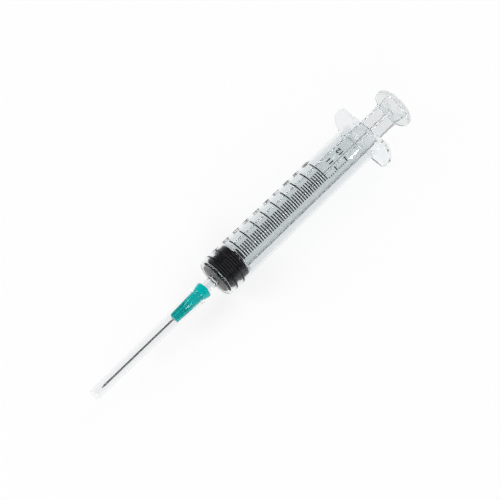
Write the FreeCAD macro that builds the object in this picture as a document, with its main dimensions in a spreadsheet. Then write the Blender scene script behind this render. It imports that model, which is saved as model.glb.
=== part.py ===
import FreeCAD, Part
import math
import os
import Sketcher
from FreeCAD import Placement, Rotation, Vector

# A 10 mL disposable syringe with its needle, lying on its side. All lengths are in millimetres.
# All pieces share one axis and are drawn along X: X = 0 is the 0 mL mark and +X runs to the
# thumb end. Z is up, and the flange's lower flat rests on the table at Z = 0.

DIMENSIONS = {
    # barrel
    "bore_radius": 7.5,
    "barrel_wall": 0.95,
    "front_gap": 0.8,  # bore in front of the 0 mL mark
    "bore_cone_depth": 0.9,
    "end_wall": 1.2,
    "end_cone_depth": 0.6,
    "shoulder_round": 1.2,
    "mouth_bevel": 0.5,
    "scale_tail": 15.9,  # from the last mark to the rear face
    "flange_radius": 14.7,
    "flange_half_height": 9.0,
    "flange_thickness": 1.8,
    "flange_edge_round": 0.2,
    "flange_root_round": 0.3,
    "stop_ring_inset": 5.6,  # from the rear face
    "stop_ring_height": 0.16,
    "stop_ring_half_width": 0.6,
    # nozzle, a male cone with a taper of 6 in 100 on the diameter
    "nozzle_reach": 12.4,  # from the front of the bore
    "nozzle_tip_radius": 1.98,
    "nozzle_bore_radius": 1.05,
    "nozzle_root_round": 0.7,
    "cone_slope": 0.03,
    "cone_clearance": 0.02,
    # piston
    "seal_clearance": 0.05,
    "valley_depth": 0.7,
    "nose_clearance": 0.3,
    "front_seal_place": 1.9,
    "rear_seal_place": 5.65,
    "seal_half_width": 0.85,
    "seal_half_land": 0.15,
    "skirt_clearance": 0.25,
    "piston_rear": 9.0,
    "socket_neck_radius": 2.5,
    "socket_radius": 3.8,
    "socket_front": 2.4,
    "socket_rear": 5.9,
    # plunger rod
    "head_clearance": 0.2,
    "neck_clearance": 0.05,
    "head_bevel": 1.1,
    "disc_gap": 0.12,
    "disc_thickness": 1.3,
    "disc_clearance": 0.45,
    "rib_clearance": 0.8,
    "rib_thickness": 1.1,
    "rib_root_round": 0.6,
    "rib_turn": 27.0,
    "flare_length": 5.0,
    "flare_height": 1.1,
    "thumb_gap": 16.4,
    "thumb_overhang": 1.1,  # of the thumb rest beyond the flared rib tips
    "thumb_thickness": 2.2,
    "thumb_edge_round": 0.7,
    # needle hub
    "hub_rear": 6.9,  # from the front of the bore
    "hub_length": 16.8,
    "collar_radius": 3.35,
    "collar_land": 0.9,
    "collar_length": 3.1,
    "collar_front_radius": 2.85,
    "collar_round": 0.3,
    "lug_radius": 3.85,
    "lug_width": 2.4,
    "lug_turn": -18.0,
    "cone_depth": 7.8,
    "socket_wall": 0.42,
    "grip_length": 3.4,
    "nose_radius": 1.25,
    "fin_thickness": 0.45,
    "bond_well_radius": 0.8,
    "bond_well_depth": 1.2,
    "channel_clearance": 0.02,
    # steel tube
    "tube_radius": 0.4,
    "tube_bore_radius": 0.26,
    "tube_reach": 38.0,
    "tube_grip": 7.4,  # length held in the hub
    "bevel_angle": 14.0,
    "lancet_angle": 21.0,
    "lancet_turn": 40.0,
    "bond_height": 0.7,
    # sheath
    "sheath_gap": 0.3,
    "sheath_mouth_radius": 2.7,
    "sheath_hub_radius": 2.1,
    "sheath_end_radius": 1.45,
    "sheath_clearance": 0.04,
    "sheath_wall": 0.7,
    "sheath_tip_room": 3.0,
    "sheath_end_wall": 1.2,
    "sheath_end_round": 1.2,
    "bead_height": 0.3,
    "bead_length": 1.2,
    # printed scale, angles from straight up, positive towards +Y
    "graduated_volume": 12.0,
    "full_volume": 10.0,
    "ink_thickness": 0.03,
    "line_width": 0.55,
    "scale_edge_angle": -33.0,
    "short_line_angle": 1.6,
    "long_line_angle": 36.0,
    "reserve_line_angle": -17.0,
    "dot_angle": -30.0,
}
STEPS_PER_ML = 5
FIN_COUNT = 6

# Formulas that several pieces share
ML = "(1000 / (pi * Dims.bore_radius ^ 2))"  # bore length that holds 1 mL
STEP = f"({ML} / {STEPS_PER_ML})"
OUTER = "(Dims.bore_radius + Dims.barrel_wall)"
REAR = f"({ML} * Dims.graduated_volume + Dims.scale_tail)"
FLANGE_FRONT = f"({REAR} - Dims.flange_thickness)"
STOP_RING = f"({REAR} - Dims.stop_ring_inset)"
BORE_FRONT = "(-Dims.front_gap)"
BORE_NOSE = "(-Dims.front_gap - Dims.bore_cone_depth)"
END_FRONT = "(-Dims.front_gap - Dims.end_wall)"
END_NOSE = f"({END_FRONT} - Dims.end_cone_depth)"
NOZZLE_TIP = "(-Dims.front_gap - Dims.nozzle_reach)"
SEAL_RADIUS = "(Dims.bore_radius - Dims.seal_clearance)"
VALLEY_RADIUS = f"({SEAL_RADIUS} - Dims.valley_depth)"
SKIRT_RADIUS = "(Dims.bore_radius - Dims.skirt_clearance)"
DISC_FRONT = "(Dims.piston_rear + Dims.disc_gap)"
DISC_REAR = f"({DISC_FRONT} + Dims.disc_thickness)"
RIB_RADIUS = "(Dims.bore_radius - Dims.rib_clearance)"
THUMB_RADIUS = f"({RIB_RADIUS} + Dims.flare_height + Dims.thumb_overhang)"
THUMB_FRONT = f"({REAR} + Dims.thumb_gap)"
THUMB_REAR = f"({THUMB_FRONT} + Dims.thumb_thickness)"
HUB_REAR = "(-Dims.front_gap - Dims.hub_rear)"
COLLAR_FRONT = f"({HUB_REAR} - Dims.collar_length)"
HUB_FRONT = f"({HUB_REAR} - Dims.hub_length)"
SOCKET_BOTTOM = f"({HUB_REAR} - Dims.cone_depth)"
CHANNEL_RADIUS = "(Dims.tube_radius + Dims.channel_clearance)"
TUBE_TIP = f"({HUB_FRONT} - Dims.tube_reach)"
SHEATH_MOUTH = f"({COLLAR_FRONT} - Dims.sheath_gap)"
SHEATH_BOTTOM = f"({TUBE_TIP} - Dims.sheath_tip_room)"
SHEATH_END = f"({SHEATH_BOTTOM} - Dims.sheath_end_wall)"
CENTRE = f"(({SHEATH_END} + {THUMB_REAR}) / 2)"  # middle of the whole length


def cone_radius(place):
    """The nozzle's radius at a place along the needle axis."""
    return f"(Dims.nozzle_tip_radius + Dims.cone_slope * ({place} - {NOZZLE_TIP}))"


def socket_radius(place):
    """The radius of the hub's socket, which fits over the nozzle."""
    return f"({cone_radius(place)} + Dims.cone_clearance)"


doc = FreeCAD.newDocument("Syringe")
sheet = doc.addObject("Spreadsheet::Sheet", "Dims")
for row, (word, value) in enumerate(DIMENSIONS.items(), start=1):
    sheet.set(f"A{row}", word)
    sheet.set(f"B{row}", str(value))
    sheet.setAlias(f"B{row}", word)
doc.recompute()
bodies = []


def new_body(label):
    """An empty body on the syringe's axis."""
    body = doc.addObject("PartDesign::Body", label)
    body.Label = label
    body.AllowCompound = True
    body.setExpression("Placement.Base.x", f"-{CENTRE}")
    body.setExpression("Placement.Base.z", "Dims.flange_half_height")
    bodies.append(body)
    return body


def origin_feature(body, role):
    return next(f for f in body.Origin.OriginFeatures if f.Role == role)


def new_sketch(body, name, plane="XZ_Plane"):
    """A sketch along the body's axis (XZ_Plane) or across it (YZ_Plane)."""
    sketch = body.newObject("Sketcher::SketchObject", name)
    sketch.AttachmentSupport = (origin_feature(body, plane), [""])
    sketch.MapMode = "FlatFace"
    return sketch


def hold_point(sketch, edge, end, across, up):
    """Holds one end of an edge at two distances from the sketch's origin."""
    for kind, formula in (("DistanceX", across), ("DistanceY", up)):
        number = sketch.addConstraint(Sketcher.Constraint(kind, -1, 1, edge, end, 1.0))
        sketch.setExpression(f"Constraints[{number}]", formula)


def outline(body, name, corners, plane="XZ_Plane"):
    """A closed sketch of straight edges, each corner given by two formulas."""
    sketch = new_sketch(body, name, plane)
    count = len(corners)
    rough = [Vector(10 + i, i * i, 0) for i in range(count)]
    for i in range(count):
        sketch.addGeometry(Part.LineSegment(rough[i], rough[(i + 1) % count]), False)
    for i in range(count):
        sketch.addConstraint(Sketcher.Constraint("Coincident", i, 2, (i + 1) % count, 1))
    for i, (across, up) in enumerate(corners):
        hold_point(sketch, i, 1, across, up)
    return sketch


def turn_sketch(sketch, axis, angle):
    """Turns a sketch about one of its own axes before it is attached."""
    sketch.AttachmentOffset = Placement(sketch.AttachmentOffset.Base, Rotation(axis, 1))
    sketch.setExpression("AttachmentOffset.Rotation.Angle", angle)


def spin(body, name, sketch, kind="Revolution", angle=None):
    """Turns a sketch round its own horizontal axis, adding or (Groove) cutting."""
    feature = body.newObject(f"PartDesign::{kind}", name)
    feature.Profile = sketch
    feature.ReferenceAxis = (sketch, ["H_Axis"])
    feature.Angle = 360
    if angle:
        feature.setExpression("Angle", angle)
    return feature


def tube(body, name, start, end, radius, kind="Groove"):
    """A straight round bar, or with Groove a straight round hole, on the body's axis."""
    corners = [(start, "0"), (start, radius), (end, radius), (end, "0")]
    return spin(body, name, outline(body, f"{name}Profile", corners), kind)


def extrude(body, name, sketch, length, kind="Pad", midplane=False):
    feature = body.newObject(f"PartDesign::{kind}", name)
    feature.Profile = sketch
    feature.Midplane = midplane
    feature.setExpression("Length", length)
    return feature


def round_edges(feature, place, radius=None):
    """Names of the feature's circular edges at one place along X, of one radius if given."""
    names = []
    for number, edge in enumerate(feature.Shape.Edges, start=1):
        box = edge.BoundBox
        if not isinstance(edge.Curve, Part.Circle) or box.XLength > 0.01:
            continue
        if abs(box.XMin - place) > 0.02:
            continue
        if radius is None or abs(edge.Curve.Radius - radius) < 0.02:
            names.append(f"Edge{number}")
    return names


def fillet(body, name, base, edges, radius, kind="Fillet"):
    if not edges:
        raise RuntimeError(f"{name} found no edges")
    feature = body.newObject(f"PartDesign::{kind}", name)
    feature.Base = (base, edges)
    feature.setExpression("Radius" if kind == "Fillet" else "Size", radius)
    return feature


def around(body, name, original, count, angle=360):
    """Copies a feature evenly round the X axis."""
    pattern = body.newObject("PartDesign::PolarPattern", name)
    pattern.Originals = [original]
    pattern.Axis = (origin_feature(body, "X_Axis"), [""])
    pattern.Angle = angle
    pattern.Occurrences = count
    body.Tip = pattern
    return pattern


def along(body, name, original, count, pitch):
    """Copies a feature evenly along the X axis."""
    pattern = body.newObject("PartDesign::LinearPattern", name)
    pattern.Originals = [original]
    pattern.Direction = (origin_feature(body, "X_Axis"), [""])
    pattern.setExpression("Occurrences", count)
    pattern.setExpression("Length", f"{pitch} * ({count} - 1)")
    body.Tip = pattern
    return pattern


def value(formula):
    """The number that a formula gives, used only to find edges."""
    return float(sheet.evalExpression(formula))


def straight_edges(feature, distance):
    """Names of the feature's edges along X that lie at one distance from the axis."""
    names = []
    for number, edge in enumerate(feature.Shape.Edges, start=1):
        box = edge.BoundBox
        if box.XLength > 1 and box.YLength < 0.01 and box.ZLength < 0.01:
            if abs(Vector(0, box.YMin, box.ZMin).Length - distance) < 0.02:
                names.append(f"Edge{number}")
    return names


def build_barrel():
    body = new_body("barrel")
    wall = spin(body, "Wall", outline(body, "WallProfile", [
        (NOZZLE_TIP, "0"), (NOZZLE_TIP, "Dims.nozzle_tip_radius"),
        (END_NOSE, cone_radius(END_NOSE)), (END_FRONT, OUTER), (REAR, OUTER), (REAR, "0")]))
    doc.recompute()
    outer = value(OUTER)
    shoulder = fillet(body, "Shoulder", wall, round_edges(wall, value(END_FRONT)),
                      "Dims.shoulder_round")
    doc.recompute()
    fillet(body, "NozzleRoot", shoulder, round_edges(shoulder, value(END_NOSE)),
           "Dims.nozzle_root_round")

    # Finger flange: a disc with two flats, the lower of which rests on the table
    flange = new_sketch(body, "FlangeProfile", "YZ_Plane")
    flange.setExpression("AttachmentOffset.Base.z", FLANGE_FRONT)
    rim, flat = value("Dims.flange_radius"), value("Dims.flange_half_height")
    turn = math.asin(flat / rim)
    half = rim * math.cos(turn)
    circle = Part.Circle(Vector(), Vector(0, 0, 1), rim)
    flange.addGeometry(Part.ArcOfCircle(circle, -turn, turn), False)
    flange.addGeometry(Part.LineSegment(Vector(half, flat, 0), Vector(-half, flat, 0)), False)
    flange.addGeometry(Part.ArcOfCircle(circle, math.pi - turn, math.pi + turn), False)
    flange.addGeometry(Part.LineSegment(Vector(-half, -flat, 0), Vector(half, -flat, 0)), False)
    for edge in range(4):
        flange.addConstraint(Sketcher.Constraint("Coincident", edge, 2, (edge + 1) % 4, 1))
    for arc in (0, 2):
        flange.addConstraint(Sketcher.Constraint("Coincident", arc, 3, -1, 1))
        number = flange.addConstraint(Sketcher.Constraint("Radius", arc, rim))
        flange.setExpression(f"Constraints[{number}]", "Dims.flange_radius")
    for edge, sign in ((1, ""), (3, "-")):
        flange.addConstraint(Sketcher.Constraint("Horizontal", edge))
        number = flange.addConstraint(Sketcher.Constraint("DistanceY", -1, 1, edge, 1, flat))
        flange.setExpression(f"Constraints[{number}]", f"{sign}Dims.flange_half_height")
    plate = extrude(body, "Flange", flange, "Dims.flange_thickness")

    doc.recompute()
    root = fillet(body, "FlangeRoot", plate, round_edges(plate, value(FLANGE_FRONT), outer),
                  "Dims.flange_root_round")
    doc.recompute()
    rim = [f"Edge{number}" for number, edge in enumerate(root.Shape.Edges, start=1)
           if edge.BoundBox.XLength < 0.01 and edge.BoundBox.XMin > value(FLANGE_FRONT) - 0.01
           and Vector(0, edge.CenterOfMass.y, edge.CenterOfMass.z).Length > outer]
    fillet(body, "FlangeEdges", root, rim, "Dims.flange_edge_round")

    spin(body, "Bore", outline(body, "BoreProfile", [
        (BORE_NOSE, "0"), (BORE_FRONT, "Dims.bore_radius"),
        (f"{STOP_RING} - Dims.stop_ring_half_width", "Dims.bore_radius"),
        (STOP_RING, "Dims.bore_radius - Dims.stop_ring_height"),
        (f"{STOP_RING} + Dims.stop_ring_half_width", "Dims.bore_radius"),
        (f"{REAR} - Dims.mouth_bevel", "Dims.bore_radius"),
        (REAR, "Dims.bore_radius + Dims.mouth_bevel"), (REAR, "0")]), "Groove")
    tube(body, "NozzleBore", NOZZLE_TIP, BORE_FRONT, "Dims.nozzle_bore_radius")
    return body


def build_scale():
    """Printed lines: a short one each 0.2 mL, longer each 1 mL, then dots past full volume."""
    body = new_body("scale_lines")
    full = f"({ML} * Dims.full_volume)"

    def printed_line(name, place, start, end):
        """One line bent round the barrel from the angle start to the angle end."""
        half = "Dims.line_width / 2"
        top = f"{OUTER} + Dims.ink_thickness"
        sketch = outline(body, f"{name}Profile", [
            (f"{place} - {half}", OUTER), (f"{place} - {half}", top),
            (f"{place} + {half}", top), (f"{place} + {half}", OUTER)])
        turn_sketch(sketch, Vector(1, 0, 0), f"-({end})")
        return spin(body, name, sketch, angle=f"{end} - {start}")

    edge = "Dims.scale_edge_angle"
    rest = "(Dims.graduated_volume - Dims.full_volume)"
    short = printed_line("ShortLine", "0", edge, "Dims.short_line_angle")
    along(body, "ShortLines", short, f"Dims.full_volume * {STEPS_PER_ML} + 1", STEP)
    long = printed_line("LongLine", "0", "Dims.short_line_angle", "Dims.long_line_angle")
    along(body, "LongLines", long, "Dims.full_volume + 1", ML)
    dot = printed_line("Dot", f"{full} + {STEP}", edge, "Dims.dot_angle")
    along(body, "Dots", dot, f"{rest} * {STEPS_PER_ML}", STEP)
    reserve = printed_line("ReserveLine", f"{full} + {ML}",
                           "Dims.dot_angle", "Dims.reserve_line_angle")
    along(body, "ReserveLines", reserve, rest, ML)
    return body


def build_piston():
    """Rubber piston: two sealing ridges, a cone in front and a snap socket behind."""
    body = new_body("piston")

    def ridge(place):
        wide, land = "Dims.seal_half_width", "Dims.seal_half_land"
        return [(f"{place} - {wide}", VALLEY_RADIUS), (f"{place} - {land}", SEAL_RADIUS),
                (f"{place} + {land}", SEAL_RADIUS), (f"{place} + {wide}", VALLEY_RADIUS)]

    front = ridge("Dims.front_seal_place")
    back = ridge("Dims.rear_seal_place")
    back[-1] = ("Dims.rear_seal_place + Dims.seal_half_width", SKIRT_RADIUS)
    spin(body, "Rubber", outline(body, "RubberProfile", [
        (f"{BORE_NOSE} + Dims.nose_clearance", "0"),
        *front, *back, ("Dims.piston_rear", SKIRT_RADIUS), ("Dims.piston_rear", "0")]))
    spin(body, "Socket", outline(body, "SocketProfile", [
        ("Dims.socket_front", "0"),
        ("Dims.socket_front", "Dims.socket_radius - Dims.head_bevel"),
        ("Dims.socket_front + Dims.head_bevel", "Dims.socket_radius"),
        ("Dims.socket_rear", "Dims.socket_radius"), ("Dims.socket_rear", "Dims.socket_neck_radius"),
        ("Dims.piston_rear", "Dims.socket_neck_radius"), ("Dims.piston_rear", "0")]), "Groove")
    return body


def build_rod():
    """Plunger rod: snap head, front disc, four ribs in a cross and a thumb rest."""
    body = new_body("plunger_rod")
    head_front = "(Dims.socket_front + Dims.neck_clearance)"
    head_radius = "(Dims.socket_radius - Dims.head_clearance)"
    head_rear = "(Dims.socket_rear - Dims.neck_clearance)"
    neck = "(Dims.socket_neck_radius - Dims.neck_clearance)"
    disc = "(Dims.bore_radius - Dims.disc_clearance)"
    spin(body, "Head", outline(body, "HeadProfile", [
        (head_front, "0"), (head_front, f"{head_radius} - Dims.head_bevel"),
        (f"{head_front} + Dims.head_bevel", head_radius), (head_rear, head_radius),
        (head_rear, neck), (DISC_FRONT, neck), (DISC_FRONT, disc),
        (DISC_REAR, disc), (DISC_REAR, "0")]))
    profile = outline(body, "RibProfile", [
        (DISC_REAR, f"-{RIB_RADIUS}"), (DISC_REAR, RIB_RADIUS),
        (f"{THUMB_FRONT} - Dims.flare_length", RIB_RADIUS),
        (THUMB_FRONT, f"{RIB_RADIUS} + Dims.flare_height"),
        (THUMB_FRONT, f"-{RIB_RADIUS} - Dims.flare_height"),
        (f"{THUMB_FRONT} - Dims.flare_length", f"-{RIB_RADIUS}")])
    turn_sketch(profile, Vector(1, 0, 0), "-Dims.rib_turn")
    blade = extrude(body, "Rib", profile, "Dims.rib_thickness", midplane=True)
    doc.recompute()
    cross = around(body, "Ribs", blade, 2, 90)
    doc.recompute()
    inside = straight_edges(cross, value("Dims.rib_thickness * sqrt(2) / 2"))
    fillet(body, "RibRoots", cross, inside, "Dims.rib_root_round")
    thumb = tube(body, "ThumbRest", THUMB_FRONT, THUMB_REAR, THUMB_RADIUS, "Revolution")
    doc.recompute()
    radius = value(THUMB_RADIUS)
    edges = [name for place in (THUMB_FRONT, THUMB_REAR)
             for name in round_edges(thumb, value(place), radius)]
    fillet(body, "ThumbEdges", thumb, edges, "Dims.thumb_edge_round")
    return body


def build_hub():
    """Needle hub: collar with two lugs, cone socket, and fins that the sheath grips."""
    body = new_body("needle_hub")
    land = f"{HUB_REAR} - Dims.collar_land"
    narrow = f"{SOCKET_BOTTOM} - Dims.grip_length"
    core = spin(body, "Core", outline(body, "CoreProfile", [
        (HUB_REAR, "0"), (HUB_REAR, "Dims.collar_radius"), (land, "Dims.collar_radius"),
        (COLLAR_FRONT, "Dims.collar_front_radius"),
        (COLLAR_FRONT, f"{socket_radius(COLLAR_FRONT)} + Dims.socket_wall"),
        (SOCKET_BOTTOM, f"{socket_radius(SOCKET_BOTTOM)} + Dims.socket_wall"),
        (narrow, "Dims.nose_radius"), (HUB_FRONT, "Dims.nose_radius"), (HUB_FRONT, "0")]))
    doc.recompute()
    fillet(body, "CollarRound", core, round_edges(core, value(HUB_REAR)), "Dims.collar_round")
    lug = outline(body, "LugProfile", [
        ("-Dims.lug_width / 2", "-Dims.lug_radius"), ("Dims.lug_width / 2", "-Dims.lug_radius"),
        ("Dims.lug_width / 2", "Dims.lug_radius"), ("-Dims.lug_width / 2", "Dims.lug_radius")],
        "YZ_Plane")
    turn_sketch(lug, Vector(0, 0, 1), "-Dims.lug_turn")
    lug.setExpression("AttachmentOffset.Base.z", land)
    extrude(body, "Lugs", lug, "Dims.collar_land")
    fin = outline(body, "FinProfile", [
        (COLLAR_FRONT, "0"), (COLLAR_FRONT, "Dims.sheath_mouth_radius - Dims.sheath_clearance"),
        (HUB_FRONT, "Dims.sheath_hub_radius - Dims.sheath_clearance"), (HUB_FRONT, "0")])
    blade = extrude(body, "Fin", fin, "Dims.fin_thickness", midplane=True)
    doc.recompute()
    around(body, "Fins", blade, FIN_COUNT)
    spin(body, "Socket", outline(body, "SocketProfile", [
        (HUB_REAR, "0"), (HUB_REAR, socket_radius(HUB_REAR)),
        (SOCKET_BOTTOM, socket_radius(SOCKET_BOTTOM)),
        (f"{SOCKET_BOTTOM} - {socket_radius(SOCKET_BOTTOM)} / 2", "0")]), "Groove")
    tube(body, "Channel", HUB_FRONT, SOCKET_BOTTOM, CHANNEL_RADIUS)
    tube(body, "BondWell", HUB_FRONT, f"{HUB_FRONT} + Dims.bond_well_depth", "Dims.bond_well_radius")
    return body


def build_tube():
    """Steel needle tube with a long bevel and two side bevels at its tip."""
    body = new_body("needle_tube")
    back = f"({HUB_FRONT} + Dims.tube_grip)"
    tube(body, "Wall", TUBE_TIP, back, "Dims.tube_radius", "Revolution")
    tube(body, "Lumen", TUBE_TIP, back, "Dims.tube_bore_radius")

    def bevel(name, start, angle, turn):
        """Cuts away what lies above a slope that rises from the tube's lowest line."""
        run = f"2 * Dims.tube_radius / tan({angle})"
        sketch = outline(body, f"{name}Profile", [
            (start, "-Dims.tube_radius"), (f"{start} + {run}", "Dims.tube_radius"),
            (f"{start} + {run}", "2 * Dims.tube_radius"),
            (f"{start} - Dims.tube_radius", "2 * Dims.tube_radius"),
            (f"{start} - Dims.tube_radius", "-Dims.tube_radius")])
        turn_sketch(sketch, Vector(1, 0, 0), turn)
        extrude(body, name, sketch, "4 * Dims.tube_radius", "Pocket", midplane=True)

    bevel("Bevel", TUBE_TIP, "Dims.bevel_angle", "0")
    # The side bevels start further forward, so that all three meet at the same point
    side_start = (f"({TUBE_TIP} - Dims.tube_radius * (1 - cos(Dims.lancet_turn))"
                  " / tan(Dims.lancet_angle))")
    bevel("LeftBevel", side_start, "Dims.lancet_angle", "Dims.lancet_turn")
    bevel("RightBevel", side_start, "Dims.lancet_angle", "-Dims.lancet_turn")
    return body


def build_bond():
    """Bead of adhesive that holds the steel tube in the hub's nose."""
    body = new_body("bond")
    well = f"{HUB_FRONT} + Dims.bond_well_depth"
    spin(body, "Bead", outline(body, "BeadProfile", [
        (well, CHANNEL_RADIUS), (well, "Dims.bond_well_radius"),
        (HUB_FRONT, "Dims.bond_well_radius"),
        (f"{HUB_FRONT} - Dims.bond_height", CHANNEL_RADIUS)]))
    return body


def build_sheath():
    """Clear sheath: a cone over the hub's fins, then a slimmer cone over the needle."""
    body = new_body("needle_sheath")
    wall = "Dims.sheath_wall"
    lip = f"{SHEATH_MOUTH} - Dims.bead_length"
    spin(body, "Shell", outline(body, "ShellProfile", [
        (SHEATH_MOUTH, "0"), (SHEATH_MOUTH, f"Dims.sheath_mouth_radius + {wall} + Dims.bead_height"),
        (lip, f"Dims.sheath_mouth_radius + {wall} + Dims.bead_height"),
        (lip, f"Dims.sheath_mouth_radius + {wall}"),
        (HUB_FRONT, f"Dims.sheath_hub_radius + {wall}"),
        (SHEATH_END, f"Dims.sheath_end_radius + {wall}"), (SHEATH_END, "0")]))
    doc.recompute()
    shell = body.Tip
    fillet(body, "EndRound", shell, round_edges(shell, value(SHEATH_END)), "Dims.sheath_end_round")
    spin(body, "Inside", outline(body, "InsideProfile", [
        (SHEATH_MOUTH, "0"), (SHEATH_MOUTH, "Dims.sheath_mouth_radius"),
        (HUB_FRONT, "Dims.sheath_hub_radius"), (SHEATH_BOTTOM, "Dims.sheath_end_radius"),
        (SHEATH_BOTTOM, "0")]), "Groove")
    return body


build_barrel()
build_scale()
build_piston()
build_rod()
build_hub()
build_tube()
build_bond()
build_sheath()
doc.recompute()

os.makedirs("parts", exist_ok=True)
for item in doc.Objects:
    if {"Invalid", "Error"} & set(item.State):
        raise RuntimeError(f"{item.Label} failed: {item.State}")
for body in bodies:
    if body.Shape.isNull() or not body.Shape.isValid():
        raise RuntimeError(f"{body.Label} has no valid shape")
for body in bodies:
    shape = body.Shape
    shape.exportStep(f"parts/{body.Label}.step")
    box = shape.optimalBoundingBox()
    print(f"{body.Label}: {len(shape.Solids)} solids, {shape.Volume:.1f} mm3, x {box.XMin:.2f} to "
          f"{box.XMax:.2f}, y {box.YMin:.2f} to {box.YMax:.2f}, z {box.ZMin:.2f} to {box.ZMax:.2f}")
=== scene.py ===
import math

import bmesh
import bpy
from mathutils import Matrix, Vector


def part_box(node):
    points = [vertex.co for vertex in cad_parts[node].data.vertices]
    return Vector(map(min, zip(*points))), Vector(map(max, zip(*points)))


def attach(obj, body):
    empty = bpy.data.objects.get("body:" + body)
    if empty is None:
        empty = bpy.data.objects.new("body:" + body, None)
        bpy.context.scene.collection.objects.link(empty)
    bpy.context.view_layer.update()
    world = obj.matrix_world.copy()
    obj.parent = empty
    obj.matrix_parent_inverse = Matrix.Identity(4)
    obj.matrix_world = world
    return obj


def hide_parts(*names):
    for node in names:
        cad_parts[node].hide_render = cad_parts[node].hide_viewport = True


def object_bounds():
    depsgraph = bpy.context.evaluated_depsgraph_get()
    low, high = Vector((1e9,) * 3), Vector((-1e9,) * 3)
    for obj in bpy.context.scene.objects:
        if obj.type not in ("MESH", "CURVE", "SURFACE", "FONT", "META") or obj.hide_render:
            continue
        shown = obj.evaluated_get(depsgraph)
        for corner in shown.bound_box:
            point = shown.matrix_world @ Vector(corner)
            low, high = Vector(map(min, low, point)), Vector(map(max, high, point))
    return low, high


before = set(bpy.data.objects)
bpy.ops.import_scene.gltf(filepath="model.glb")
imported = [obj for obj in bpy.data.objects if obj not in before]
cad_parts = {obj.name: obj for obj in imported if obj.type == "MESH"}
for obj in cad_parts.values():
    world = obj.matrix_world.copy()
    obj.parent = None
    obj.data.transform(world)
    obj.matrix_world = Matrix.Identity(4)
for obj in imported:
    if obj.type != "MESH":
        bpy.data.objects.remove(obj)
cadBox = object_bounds()
print("frame loaded with " + ", ".join(sorted(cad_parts)))

# The dictionaries hold millimetres and degrees. Places along the syringe run from the
# scale's zero mark, negative towards the needle. Radii are from the syringe's own axis,
# and angles round it are from straight up, positive towards +Y.
mm = 0.001
syringe = {
    "bore": 7.5,
    "graduated": 12,     # mL
    "boreFront": -0.8,
    "axisHeight": 9.0,
    "pastScale": 15.9,   # barrel behind the last mark
}
edge = {   # corner roundings that several pieces share
    "keen": 0.08,
    "fine": 0.1,
    "crisp": 0.12,
    "small": 0.15,
    "plain": 0.2,
    "eased": 0.25,
    "soft": 0.3,
    "full": 0.35,
    "broad": 0.5,
}
mesher = {
    "arcTurn": 11,        # most degrees between two points of a rounded corner
    "sideShare": 0.49,    # a rounding takes up to this share of each side
    "longRun": 0.8,       # a longer run gets a point this near to each of its ends
    "inset": 0.12,
    "touching": 1e-7,     # metres within which a fused piece's points are one
}
pitch = 1000 / (math.pi * syringe["bore"] ** 2)   # bore length that holds 1 mL


class Wire:
    # One output socket. Arithmetic on it adds Math nodes.
    def __init__(self, graph, socket):
        self.graph = graph
        self.socket = socket

    def out(self, name):
        return Wire(self.graph, self.socket.node.outputs[name])

    def math(self, operation, first, second):
        return self.graph.add("ShaderNodeMath", {"operation": operation}, {0: first, 1: second})

    def __add__(self, other):
        return self.math("ADD", self, other)

    def __radd__(self, other):
        return self.math("ADD", other, self)

    def __sub__(self, other):
        return self.math("SUBTRACT", self, other)

    def __rsub__(self, other):
        return self.math("SUBTRACT", other, self)

    def __mul__(self, other):
        return self.math("MULTIPLY", self, other)

    def __truediv__(self, other):
        return self.math("DIVIDE", self, other)

    def __pow__(self, other):
        return self.math("POWER", self, other)

    def above(self, limit):
        return self.math("GREATER_THAN", self, limit)

    def clamped(self):
        return self.graph.add("ShaderNodeClamp", {}, {"Value": self})


class Graph:
    def __init__(self, tree):
        self.tree = tree
        tree.nodes.clear()

    # Settings come first, because some of them change which sockets a node has
    def add(self, kind, settings=None, inputs=None, output=0):
        node = self.tree.nodes.new(kind)
        for name, value in (settings or {}).items():
            setattr(node, name, value)
        for name, value in (inputs or {}).items():
            if isinstance(value, Wire):
                self.tree.links.new(value.socket, node.inputs[name])
            else:
                node.inputs[name].default_value = value
        return Wire(self, node.outputs[output]) if len(node.outputs) else None


def place(along, across, up):
    # a point measured from the axis, in the frame's metres
    return Vector((zeroPlace + along * mm, across * mm, (syringe["axisHeight"] + up) * mm))


def roundedPath(corners, closed=True):
    # corners are (along, out) or (along, out, radius); a radius becomes an arc
    path = []
    for i, corner in enumerate(corners):
        here = Vector(corner[:2])
        if len(corner) < 3 or (not closed and i in (0, len(corners) - 1)):
            path.append(here)
            continue
        before = Vector(corners[i - 1][:2]) - here
        after = Vector(corners[(i + 1) % len(corners)][:2]) - here
        angle = before.angle(after)
        room = mesher["sideShare"] * min(before.length, after.length)
        reach = min(corner[2] / math.tan(angle / 2), room)
        radius = reach * math.tan(angle / 2)
        inward = (before.normalized() + after.normalized()).normalized()
        middle = here + inward * (radius / math.sin(angle / 2))
        spoke = here + before.normalized() * reach - middle
        turn = math.copysign(math.pi - angle, -before.cross(after))
        steps = max(2, math.ceil(abs(math.degrees(turn)) / mesher["arcTurn"]))
        for step in range(steps + 1):
            a = turn * step / steps
            path.append(middle + Vector((spoke.x * math.cos(a) - spoke.y * math.sin(a),
                                         spoke.x * math.sin(a) + spoke.y * math.cos(a))))
    return path


def held(path, closed=True):
    # a point close to each end of every long run, so that rounded corners don't tint its shading
    kept = []
    for i, here in enumerate(path):
        kept.append(here)
        after = path[(i + 1) % len(path)] if closed or i < len(path) - 1 else here
        run = after - here
        if run.length > mesher["longRun"]:
            inset = run.normalized() * mesher["inset"]
            kept += [here + inset, after - inset]
    return kept


def asPiece(name, mesh, sharp=35):
    bmesh.ops.recalc_face_normals(mesh, faces=mesh.faces)
    data = bpy.data.meshes.new(name)
    mesh.to_mesh(data)
    mesh.free()
    piece = bpy.data.objects.new(name, data)
    bpy.context.scene.collection.objects.link(piece)
    smooth(piece, sharp)
    return piece


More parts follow.
